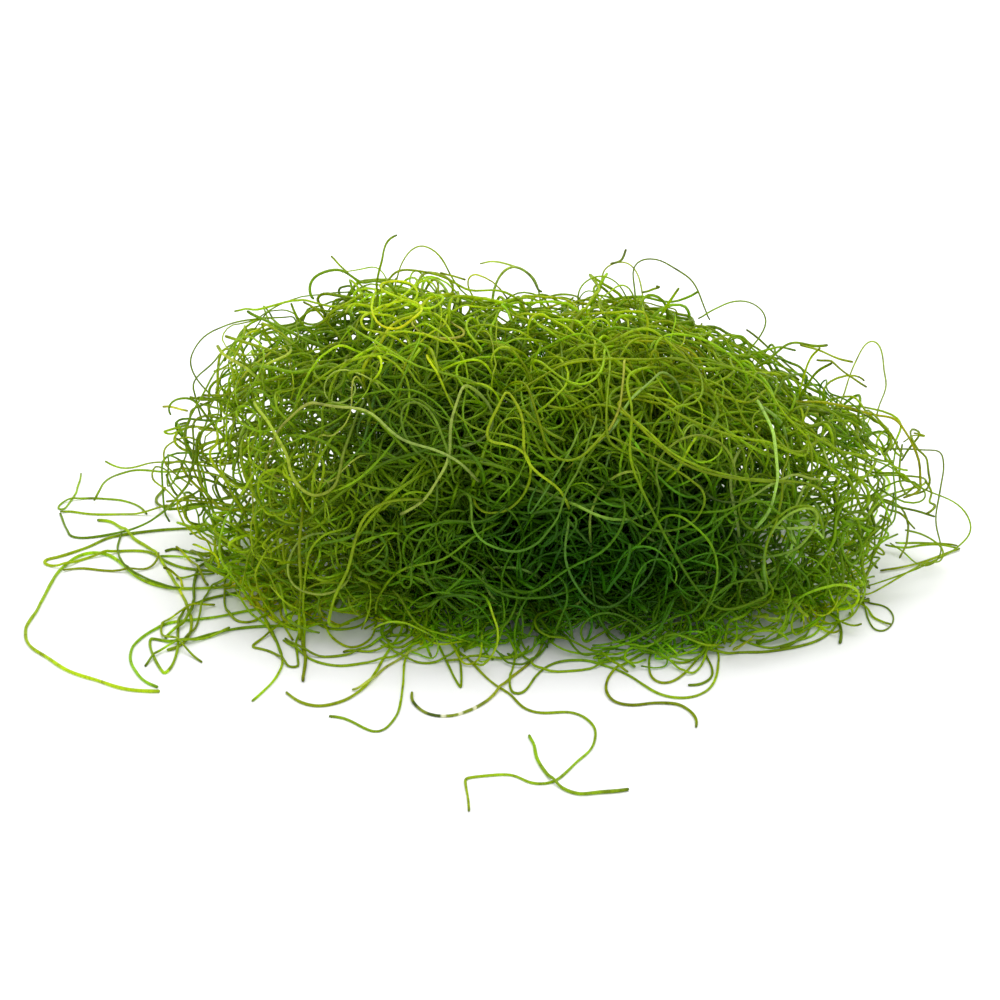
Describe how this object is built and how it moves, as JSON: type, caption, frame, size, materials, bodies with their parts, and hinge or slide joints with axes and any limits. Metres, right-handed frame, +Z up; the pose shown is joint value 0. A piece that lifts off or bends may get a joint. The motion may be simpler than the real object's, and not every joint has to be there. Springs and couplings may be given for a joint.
{
  "type": "spaghetti algae clump",
  "caption": "Loose heap of wet, glossy, spaghetti-like green algae: a close tangle of long unbranched curling strands, with loops and cut tips trailing out on the surface it lies on.",
  "frame": {"origin": "under the middle of the whole heap, on the surface it lies on", "axes": "+X along the heap's long way, +Y towards its back, +Z up; the long loose loop lies at -X and the viewer of the picture looks from -Y"},
  "size_m": [0.1418, 0.1266, 0.0535],
  "materials": {
    "tangle_green": "wet",
    "strand_green": "wet",
    "strand_dark": "wet",
    "strand_pale": "wet",
    "strand_banded": "wet"
  },
  "bodies": {
    "root": {"filament_back_left_bow": "strand_green", "filament_back_middle_sweep": "strand_green", "filament_back_right_bow": "strand_dark", "filament_back_right_trail": "strand_green", "filament_back_short_tip": "strand_dark", "filament_back_slope_arch": "strand_green", "filament_crown_great_arch": "strand_dark", "filament_crown_left_arch": "strand_green", "filament_crown_left_bow": "strand_dark", "filament_crown_left_spire": "strand_dark", "filament_crown_left_tip": "strand_green", "filament_crown_middle_bow": "strand_green", "filament_crown_pale_bow": "strand_pale", "filament_crown_pale_wisp": "strand_pale", "filament_crown_right_arch": "strand_green", "filament_crown_right_stub": "strand_green", "filament_crown_right_tip": "strand_green", "filament_crown_short_stub": "strand_green", "filament_front_banded": "strand_banded", "filament_front_folded_v": "strand_green", "filament_front_left_deep_bow": "strand_green", "filament_front_left_hairpin": "strand_green", "filament_front_left_long_arc": "strand_green", "filament_front_left_low_arc": "strand_green", "filament_front_left_tip": "strand_green", "filament_front_loose_long": "strand_green", "filament_front_loose_short": "strand_dark", "filament_front_low_bow": "strand_dark", "filament_front_pale_tip": "strand_pale", "filament_front_right_edge": "strand_green", "filament_front_right_hook": "strand_dark", "filament_front_right_ring": "strand_green", "filament_front_right_sweep": "strand_green", "filament_front_wide_bow": "strand_green", "filament_left_cut_tip": "strand_dark", "filament_left_far_curl": "strand_dark", "filament_left_far_tip": "strand_green", "filament_left_great_loop": "strand_green", "filament_left_inner_hook": "strand_dark", "filament_left_narrow_loop": "strand_green", "filament_left_s_bend": "strand_green", "filament_left_triangle_kink": "strand_dark", "filament_left_upper_reach": "strand_green", "filament_left_upper_tip": "strand_green", "filament_right_back_loop": "strand_green", "filament_right_front_tip": "strand_dark", "filament_right_long_bow": "strand_green", "filament_right_low_trail": "strand_green", "filament_right_small_arch": "strand_green", "filament_right_small_ring": "strand_green", "filament_right_square_bend": "strand_dark", "filament_right_tall_loop": "strand_pale", "filament_shoulder_cut_tip": "strand_green", "filament_shoulder_dark_tip": "strand_dark", "filament_shoulder_hook": "strand_dark", "filament_shoulder_wide_arch": "strand_dark", "tangled_mass": "tangle_green"}
  },
  "joints": []
}
